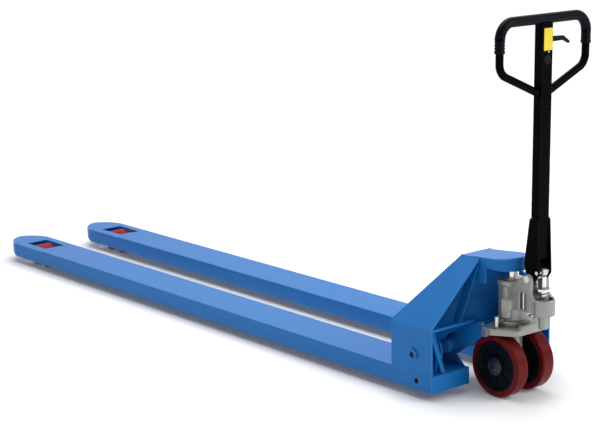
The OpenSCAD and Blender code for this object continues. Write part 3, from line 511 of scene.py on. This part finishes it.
nut_r = 9.2 * mm
cap_plastic = moulded("hub_cap_plastic", (0.006, 0.012, 0.026), 0.32, 500.0, 0.00006, 0.4)
for side, sign in (("left", -1), ("right", 1)):
    dress(tyre_red, "tyre_" + side)
    hub_low, hub_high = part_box("wheel_hub_" + side)
    hub = (hub_low + hub_high) / 2
    rim = (hub_high.z - hub_low.z) / 2
    half = (hub_high.x - hub_low.x) / 2
    boss = 31 * mm
    bore = 20.6 * mm
    web = half - 12 * mm
    spokes = 8
    half_outline = [
        (rim, half - 1.2 * mm), (rim - 1.2 * mm, half), (rim - 6 * mm, half), (rim - 8 * mm, half - 2 * mm),
        (rim - 10 * mm, web + 3 * mm), (rim - 14 * mm, web), (rim - 24 * mm, web),
        (rim - 25 * mm, web + 1.6 * mm), (rim - 28 * mm, web + 1.6 * mm), (rim - 29 * mm, web),
        (boss + 4 * mm, web), (boss + 1 * mm, web + 3 * mm),
        (boss, half - 1.5 * mm), (boss - 1.5 * mm, half), (23.6 * mm, half), (23.5 * mm, half - 15 * mm),
        (bore, half - 15 * mm)]
    outline = half_outline + [(radius, -height) for radius, height in reversed(half_outline)]
    wheel = "wheel_" + side
    turned("hub_moulding_" + side, wheel, "hub_plastic", nylon, outline, hub, (1, 0, 0), 96,
           replaced=("wheel_hub_" + side,))
    bm = bmesh.new()
    for face in (-1, 1):
        for spoke in range(spokes):
            rib = bmesh.ops.create_cube(bm, size=1)["verts"]
            bmesh.ops.scale(bm, verts=rib, vec=(4.5 * mm, 3.2 * mm, rim - boss - 10 * mm))
            bmesh.ops.translate(bm, verts=rib, vec=(face * (web + 1.5 * mm), 0, (rim + boss - 4 * mm) / 2))
            turn = Matrix.Rotation(math.tau * spoke / spokes, 3, "X")
            bmesh.ops.rotate(bm, verts=rib, cent=(0, 0, 0), matrix=turn)
    break_edges(bm, 0.8 * mm)
    bmesh.ops.translate(bm, verts=bm.verts, vec=hub)
    finished("hub_ribs_" + side, bm, wheel, "hub_plastic", nylon, nylon)
    cap_x = hub.x + sign * (half - 0.4 * mm)
    turned("hub_cap_" + side, wheel, "hub_plastic", cap_plastic, [
        (0, 6.6 * mm), (9 * mm, 6.4 * mm), (17 * mm, 5.2 * mm), (21 * mm, 3.6 * mm), (23 * mm, 1.8 * mm),
        (28.4 * mm, 1.4 * mm), (28.8 * mm, 0.6 * mm), (28.4 * mm, 0), (0, 0)],
        (cap_x, hub.y, hub.z), (sign, 0, 0))
    nut_place = Matrix.Translation((cap_x + sign * 7.0 * mm, hub.y, hub.z))
    nut_place = nut_place @ Matrix.Rotation(math.pi / 2, 4, "Y")
    bm = bmesh.new()
    bmesh.ops.create_cone(
        bm, cap_ends=True, segments=6, radius1=nut_r, radius2=nut_r, depth=5.5 * mm, matrix=nut_place)
    break_edges(bm, 0.9 * mm)
    finished("axle_nut_" + side, bm, wheel, "bright_steel", black_steel, black_steel)
dress(zinc, "wheel_bearings_left", "wheel_bearings_right", "snap_rings", "steer_axle")

# ---- Base plate ----
# A cast plate that the rocker's arms carry; the pump turns in its bronze bush, and two posts with
# dogs hold the pump's flange down. It is painted silver like the pump.


def casting(name, colour, roughness):
    """Silver paint over sand-cast iron: pebbled skin, slow tone changes, grime in the low places."""
    skin = Finish(name, Metallic=0.55, Specular_IOR_Level=0.5)
    cloud = skin.noise(11.0, 4.0)
    pebble = skin.noise(330.0, 4.0, roughness=0.6)
    pits = skin.band(skin.noise(95.0, 3.0), 0.62, 0.72)
    tone = skin.blend(cloud, shade(colour, 0.84), shade(colour, 1.14))
    skin.set(Base_Color=skin.blend(pits * 0.35, tone, shade(colour, 0.45)),
             Roughness=cloud * 0.14 + pits * 0.15 + (roughness - 0.07))
    skin.bump(pebble - pits * 0.8, 0.00045, 0.55)
    return skin.material


silver_cast = casting("silver_casting", (0.33, 0.335, 0.31), 0.40)


def cast(node, slot, voxel, rounds):
    """The node's shape as a casting: remeshed, so that smoothing rounds its corners and fills its fillets."""
    bm = merged_copy(node)
    bmesh.ops.triangulate(bm, faces=bm.faces)
    rough = bpy.data.meshes.new("rough")
    bm.to_mesh(rough)
    bm.free()
    pattern = bpy.data.objects.new("pattern", rough)
    bpy.context.scene.collection.objects.link(pattern)
    grid = pattern.modifiers.new("grid", "REMESH")
    grid.mode = "VOXEL"
    grid.voxel_size = voxel
    depsgraph = bpy.context.evaluated_depsgraph_get()
    even = pattern.evaluated_get(depsgraph).to_mesh()
    bm = bmesh.new()
    bm.from_mesh(even)
    for _ in range(rounds):
        bmesh.ops.smooth_vert(
            bm, verts=bm.verts, factor=0.5, use_axis_x=True, use_axis_y=True, use_axis_z=True)
    bpy.data.objects.remove(pattern)
    return finished(node + "_casting", bm, body_of(node), slot, silver_cast, replaced=(node,))


cast("base_plate", "cast_metal", 2.0 * mm, 6)
dress(zinc, "base_pins", "hold_down_posts")

# ---- Pump ----
# One silver-painted casting holds the main cylinder, the plunger's barrel and the ears of the
# handle's pivot. The ram is hard chromed; gland, plugs and plunger are machined steel.

cast("pump_body", "cast_metal", 1.9 * mm, 7)
chrome = metal("ram_chrome", (0.72, 0.73, 0.74), 0.16, 500.0, 0.03, 0.00001)
spring_steel = metal("spring_steel", (0.40, 0.41, 0.42), 0.30, 380.0)
dress(chrome, "piston_rod", "plunger")
dress(zinc, "pump_gland", "valve_arm")
eased("pump_screws", "bright_steel", 0.5 * mm, zinc, zinc)

spring_low, spring_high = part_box("plunger_spring")
spring = (spring_low + spring_high) / 2
wire_r = 1.7 * mm
coil_r = (spring_high.x - spring_low.x) / 2 - wire_r
turns = 5.5
steps = 22
length = spring_high.z - spring_low.z - 2 * wire_r
bm = bmesh.new()
start = Matrix.Translation((coil_r, 0, wire_r)) @ Matrix.Rotation(math.pi / 2, 4, "X")
bmesh.ops.create_circle(bm, cap_ends=False, segments=10, radius=wire_r, matrix=start)
bmesh.ops.spin(
    bm, geom=bm.verts[:] + bm.edges[:], cent=(0, 0, 0), axis=(0, 0, 1), angle=math.tau * turns,
    dvec=(0, 0, length / (turns * steps)), steps=round(turns * steps), use_merge=False)
open_ends = [edge for edge in bm.edges if edge.is_boundary]
bmesh.ops.holes_fill(bm, edges=open_ends, sides=12)
bmesh.ops.recalc_face_normals(bm, faces=bm.faces)
bmesh.ops.translate(bm, verts=bm.verts, vec=(spring.x, spring.y, spring_low.z))
coil = finished("plunger_coil", bm, "pump", "bright_steel", spring_steel, replaced=("plunger_spring",))
joints = {joint["name"]: joint for joint in frame["joints"]}
stroke = -joints["pump_stroke"]["range_m"][0]
1 - stroke / (spring_high.z - spring_low.z)
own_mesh(coil)

# ---- Handle ----
# A black-coated yoke and rectangular tube with a bent hand ring welded through it. A long PVC sleeve
# covers the ring's top, and the release lever pokes out on the right.

black_coat = powder_coat("black_powder_coat", (0.0010, 0.0010, 0.0018), 0.34, 0.15, 0.02)
# The handle's rounded edges get a slightly lighter, glossier black: partly wear, partly a painted highlight
# along the edges.
black_edge_wear_and_painted_highlight = powder_coat("black_coat_edge_wear_and_painted_highlight", (0.002, 0.002, 0.003), 0.30, 0.1, 0.06)
sleeve = moulded("pvc_sleeve", (0.002, 0.002, 0.005), 0.40, 620.0, 0.00016, 0.07)
lever_nylon = moulded("lever_nylon", (0.002, 0.002, 0.003), 0.38, 800.0, 0.00006, 0.12)
eased("handle_yoke", "black_paint", 1.4 * mm, black_coat, black_edge_wear_and_painted_highlight, segments=3)
eased("handle_tube", "black_paint", 2.2 * mm, black_coat, black_edge_wear_and_painted_highlight, segments=4, angle=60)
eased("release_lever", "lever_plastic", 1.8 * mm, lever_nylon, lever_nylon, segments=3)
dress(black_coat, "handle_ring")
dress(zinc, "handle_axle", "roller_pin", "release_rod")
eased("press_roller", "bright_steel", 0.8 * mm, zinc, zinc)

pivot = Vector(joints["handle_tilt"]["pos_m"])
along = Vector(joints["release_pull"]["axis"])
sideways = Vector((1, 0, 0))
handle_turn = Matrix((sideways, along.cross(sideways), along)).transposed()
handle_place = Matrix.Translation(pivot) @ handle_turn.to_4x4()


def handle_box(node):
    """Corners of a node in the handle's own frame: origin at the pivot, z along the tube."""
    spots = [handle_place.inverted() @ vert.co for vert in frame["nodes"][node].data.vertices]
    return [Vector(pick(spot[k] for spot in spots) for k in range(3)) for pick in (min, max)]


def drawn(bm, ring, vector, scale=1.0):
    """Pulls a ring of edges on by the vector and resizes it about its middle; returns the new ring."""
    grown = bmesh.ops.extrude_edge_only(bm, edges=ring)["geom"]
    verts = [v for v in grown if isinstance(v, bmesh.types.BMVert)]
    bmesh.ops.translate(bm, verts=verts, vec=vector)
    centre = sum((v.co for v in verts), Vector()) / len(verts)
    bmesh.ops.scale(bm, verts=verts, vec=(scale,) * 3, space=Matrix.Translation(centre).inverted())
    return [e for e in grown if isinstance(e, bmesh.types.BMEdge)]


def bent(bm, ring, centre, degrees, steps=14):
    """Turns a ring of edges on about the handle's fore-and-aft axis; returns the new ring."""
    spun = bmesh.ops.spin(
        bm, geom=ring, cent=centre, axis=(0, 1, 0), angle=math.radians(degrees), steps=steps, use_merge=False)
    return [e for e in spun["geom_last"] if isinstance(e, bmesh.types.BMEdge)]


grip_low, grip_high = handle_box("handle_grips")
grip_r = (grip_high.y - grip_low.y) / 2 - 0.2 * mm
grip_y = (grip_high.y + grip_low.y) / 2
side_x = grip_high.x - grip_r - 0.2 * mm
top_z = grip_high.z - grip_r - 0.2 * mm
bend_r = 50 * mm
groove = 0.90
bm = bmesh.new()
bmesh.ops.create_circle(
    bm, cap_ends=False, segments=32, radius=grip_r * 0.80,
    matrix=Matrix.Translation((side_x, grip_y, grip_low.z)))
ring = drawn(bm, bm.edges[:], (0, 0, 0.2 * mm), 1.22)
lip = [(1.0, 1.02), (6, 1), (1.5, 1 / 1.02)]
ribs = [step for _ in range(4) for step in ((1.6, groove), (1.2, 1), (1.6, 1 / groove), (4.4, 1))]
for rise, scale in lip + ribs:
    ring = drawn(bm, ring, (0, 0, rise * mm), scale)
climbed = sum(rise for rise, _ in lip + ribs) * mm + 0.2 * mm
straight = top_z - bend_r - grip_low.z - climbed
ring = drawn(bm, ring, (0, 0, straight))
ring = bent(bm, ring, (side_x - bend_r, grip_y, top_z - bend_r), -90)
ring = drawn(bm, ring, (-2 * (side_x - bend_r), 0, 0))
ring = bent(bm, ring, (bend_r - side_x, grip_y, top_z - bend_r), -90)
ring = drawn(bm, ring, (0, 0, -straight))
for rise, scale in reversed(lip + ribs):
    ring = drawn(bm, ring, (0, 0, -rise * mm), 1 / scale)
drawn(bm, ring, (0, 0, -0.2 * mm), 1 / 1.22)
bmesh.ops.remove_doubles(bm, verts=bm.verts, dist=0.01 * mm)
bmesh.ops.recalc_face_normals(bm, faces=bm.faces)
bmesh.ops.transform(bm, matrix=handle_place, verts=bm.verts)
finished("grip_sleeve", bm, "handle", "grip", sleeve, replaced=("handle_grips",))


# ---- Handle label ----
# A plain yellow vinyl label with a dark rule round it and a white sticker under it; it carries no
# words. Below it a moulded plug and a rivet close holes in the tube.


glue = 0.05 * mm


def plate_on_tube(name, material, x, z, width, height, thick, corner):
    """A thin flat piece on the operator's face of the tube, with rounded corners."""
    bm = bmesh.new()
    slab = bmesh.ops.create_cube(bm, size=1)["verts"]
    bmesh.ops.scale(bm, verts=slab, vec=(width, thick, height))
    corners = [e for e in bm.edges if abs(e.verts[0].co.y - e.verts[1].co.y) > thick / 2]
    bmesh.ops.bevel(bm, geom=corners, offset=corner, offset_type="OFFSET", segments=5, profile=0.5,
                    affect="EDGES", clamp_overlap=True, material=-1)
    face_y = handle_box("handle_tube")[0].y - glue
    bmesh.ops.translate(bm, verts=bm.verts, vec=(x, face_y - thick / 2, z))
    bmesh.ops.transform(bm, matrix=handle_place, verts=bm.verts)
    return finished(name, bm, "handle", "black_paint", material)


vinyl = moulded("label_vinyl", (0.72, 0.56, 0.035), 0.32, 300.0, 0.00003)
rule = moulded("label_rule", (0.05, 0.045, 0.02), 0.35, 300.0, 0.00003)
white_vinyl = moulded("white_sticker", (0.80, 0.80, 0.78), 0.35, 300.0, 0.00003)
tube_low, tube_high = handle_box("handle_tube")
label_x = 1.5 * mm
label_z = tube_high.z - 48 * mm
label_w = 38 * mm
label_h = 68 * mm
rule_w = 0.9 * mm
plate_on_tube("label_border", rule, label_x, label_z, label_w, label_h, 0.3 * mm, 2 * mm)
plate_on_tube(
    "label_field", vinyl, label_x, label_z, label_w - 2 * rule_w, label_h - 2 * rule_w, 0.45 * mm, 1.4 * mm)
plate_on_tube("white_dot", white_vinyl, 5 * mm, label_z - 37.5 * mm, 5 * mm, 5 * mm, 0.35 * mm, 2.4 * mm)
plug_spot = handle_place @ Vector((0, tube_low.y, label_z - 60 * mm))
towards_operator = -(handle_place.to_3x3() @ Vector((0, 1, 0)))
turned("tube_plug", "handle", "black_paint", lever_nylon, [
    (0, 1.2 * mm), (12 * mm, 1.2 * mm), (13 * mm, 0.9 * mm), (14.4 * mm, 1.4 * mm), (15.2 * mm, 0.8 * mm),
    (15.4 * mm, 0), (0, 0)], plug_spot, towards_operator, 48)
rivet_y = (tube_low.y + tube_high.y) / 2 - 4 * mm
rivet_spot = handle_place @ Vector((tube_low.x, rivet_y, tube_high.z - 200 * mm))
turned("tube_rivet", "handle", "bright_steel", zinc, [
    (0, 1.6 * mm), (1.6 * mm, 1.4 * mm), (2.6 * mm, 0.8 * mm), (3.0 * mm, 0), (0, 0)],
    rivet_spot, (-1, 0, 0), 24)

# ---- Grease nipples ----
# Yellow-zinc nipples feed grease to the rocker's eyes.
# Each is turned with a foot, a neck and a ball end.

yellow_zinc = metal("yellow_zinc", (0.62, 0.50, 0.22), 0.30, 320.0)
eye_pin = middle("base_pins")
eye_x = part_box("base_pins")[1].x - 19 * mm
for side, sign in (("left", -1), ("right", 1)):
    turned("grease_nipple_" + side, "rocker", "bright_steel", yellow_zinc, [
        (0, 0), (4.2 * mm, 0), (4.2 * mm, 3.5 * mm), (2.6 * mm, 4.2 * mm), (2.2 * mm, 6.5 * mm),
        (3.2 * mm, 8 * mm), (2.6 * mm, 9.6 * mm), (0, 10 * mm)],
        (sign * eye_x, eye_pin.y + 20 * mm, eye_pin.z + 18 * mm), (0, 0, 1), 20)

# ---- Floor ----
# A pale floor that runs out of sight on every side, with painted light: a glow that grows from faint near the
# truck to strong far from it.
# It belongs to the studio and not to the truck.

white = (1, 1, 1)
paper = Finish("floor_paper_painted_glow", Metallic=0.0, Specular_IOR_Level=0.1, Emission_Strength=1.0)
reach = paper.add("ShaderNodeVectorMath", {"operation": "LENGTH"}, {0: paper.place}, 1)
# Painted light: the floor's emission is weak near the truck and strong far away.
painted_glow_mask = paper.band(reach, 1.5, 6.5)
paper.set(Base_Color=paper.blend(paper.noise(0.6), (0.93, 0.935, 0.94, 1), (0.96, 0.96, 0.96, 1)),
          Roughness=0.8, Emission_Color=paper.blend(painted_glow_mask, shade(white, 0.06), shade(white, 0.62)))
bm = bmesh.new()
bmesh.ops.create_grid(bm, x_segments=1, y_segments=1, size=30)
mesh = bpy.data.meshes.new("floor")
bm.to_mesh(mesh)
bm.free()
floor = bpy.data.objects.new("floor", mesh)
mesh.materials.append(paper.material)
bpy.context.scene.collection.objects.link(floor)

bpy.context.view_layer.update()
